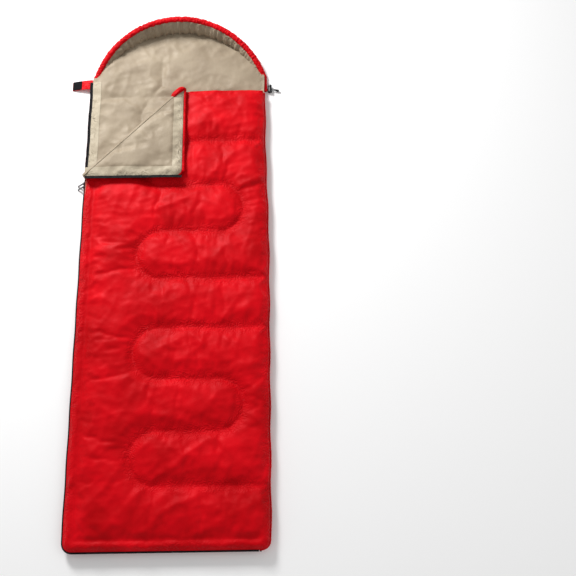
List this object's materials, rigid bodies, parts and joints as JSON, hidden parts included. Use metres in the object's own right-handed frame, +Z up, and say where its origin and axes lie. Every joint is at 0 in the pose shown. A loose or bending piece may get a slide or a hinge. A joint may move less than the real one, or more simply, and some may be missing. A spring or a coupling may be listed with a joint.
{
  "type": "rectangular sleeping bag with hood",
  "caption": "Quilted rectangular sleeping bag with a rounded drawcord hood, side zipper and one corner of the top layer folded open.",
  "frame": {"origin": "centre of the body panel's underside, on the floor", "axes": "+Z up, +Y towards the hood, +X to the right of a person lying on their back"},
  "size_m": [0.8927, 2.209, 0.095],
  "materials": {
    "red_shell": "satin woven polyester",
    "filling": "loose hollow fibre",
    "liner": "soft woven polyester",
    "facing": "smooth woven polyester",
    "zipper_tape": "woven tape",
    "zipper_coil": "nylon",
    "zipper_metal": "black enamel",
    "tab_fabric": "doubled shell fabric",
    "hook_and_loop": "hooks and loops",
    "cord": "braided",
    "black_plastic": "moulded",
    "spring_steel": "bright wire"
  },
  "bodies": {
    "base": {"bottom_shell": "red_shell", "bottom_fill": "filling", "bottom_liner": "liner", "zipper_facing_lower": "facing", "zipper_tape_lower": "zipper_tape", "zipper_coil_lower": "zipper_coil", "zipper_box": "zipper_coil", "top_stop_lower": "zipper_coil", "side_seam": "red_shell", "tab_anchor": "tab_fabric", "casing_end": "red_shell", "drawcord_end": "cord", "drawcord_tail": "cord", "cord_end": "black_plastic"},
    "top_quilt": {"top_shell": "red_shell", "top_fill": "filling", "top_liner": "liner", "top_hem_binding": "red_shell", "zipper_facing_upper": "facing", "zipper_tape_upper": "zipper_tape", "zipper_coil_upper": "zipper_coil", "zipper_pin": "zipper_coil"},
    "flap": {"flap_shell": "red_shell", "flap_fill": "filling", "flap_liner": "liner", "flap_zipper_facing": "facing", "flap_hem_facing": "facing", "flap_zipper_tape": "zipper_tape", "flap_zipper_coil": "zipper_coil", "top_stop_upper": "zipper_coil", "flap_hem_binding": "red_shell", "flap_loop_patch": "hook_and_loop"},
    "hood": {"hood_shell": "red_shell", "hood_fill": "filling", "hood_liner": "liner", "hood_wall_shell": "red_shell", "hood_wall_fill": "filling", "hood_wall_liner": "liner", "hood_casing": "red_shell", "hood_drawcord": "cord"},
    "tab": {"tab_strap": "tab_fabric", "tab_hook_patch": "hook_and_loop"},
    "slider_upper": {"slider_upper": "zipper_metal"},
    "slider_lower": {"slider_lower": "zipper_metal"},
    "pull_upper": {"pull_upper": "zipper_metal"},
    "pull_lower": {"pull_lower": "zipper_metal"},
    "cord_lock": {"cord_lock_barrel": "black_plastic", "cord_lock_spring": "spring_steel"},
    "plunger": {"cord_lock_plunger": "black_plastic"}
  },
  "joints": [
    {"name": "top_open", "type": "hinge", "parent": "base", "child": "top_quilt", "pos_m": [0.375, 0, 0.0285], "axis": [0, 1, 0], "range_deg": [0, 179.5]},
    {"name": "corner_fold", "type": "hinge", "parent": "top_quilt", "child": "flap", "pos_m": [-0.375, 0.485, 0.058], "axis": [-0.7071, -0.7071, 0], "range_deg": [0, 179.5]},
    {"name": "hood_fold", "type": "hinge", "parent": "base", "child": "hood", "pos_m": [0, 0.97, 0.024], "axis": [1, 0, 0], "range_deg": [0, 90]},
    {"name": "tab_fold", "type": "hinge", "parent": "base", "child": "tab", "pos_m": [-0.387, 0.9435, 0.02], "axis": [0, 1, 0], "range_deg": [0, 100]},
    {"name": "slider_upper_slide", "type": "slide", "parent": "base", "child": "slider_upper", "axis": [0, 1, 0], "range_m": [0, 0.419]},
    {"name": "slider_lower_slide", "type": "slide", "parent": "base", "child": "slider_lower", "axis": [0, 1, 0], "range_m": [-1.389, 0]},
    {"name": "pull_upper_swing", "type": "hinge", "parent": "slider_upper", "child": "pull_upper", "pos_m": [-0.3881, 0.473, 0.0285], "axis": [0, 1, 0], "range_deg": [0, 120]},
    {"name": "pull_lower_swing", "type": "hinge", "parent": "slider_lower", "child": "pull_lower", "pos_m": [-0.3881, 0.458, 0.0285], "axis": [0, 1, 0], "range_deg": [0, 120]},
    {"name": "cord_lock_slide", "type": "slide", "parent": "base", "child": "cord_lock", "axis": [1, 0, 0], "range_m": [0, 0.0035]},
    {"name": "lock_button_press", "type": "slide", "parent": "cord_lock", "child": "plunger", "axis": [0, -1, 0], "range_m": [0, 0.0035], "stiffness_N_per_m": 400, "springref_m": -0.003, "deforming": ["cord_lock_spring"]}
  ]
}
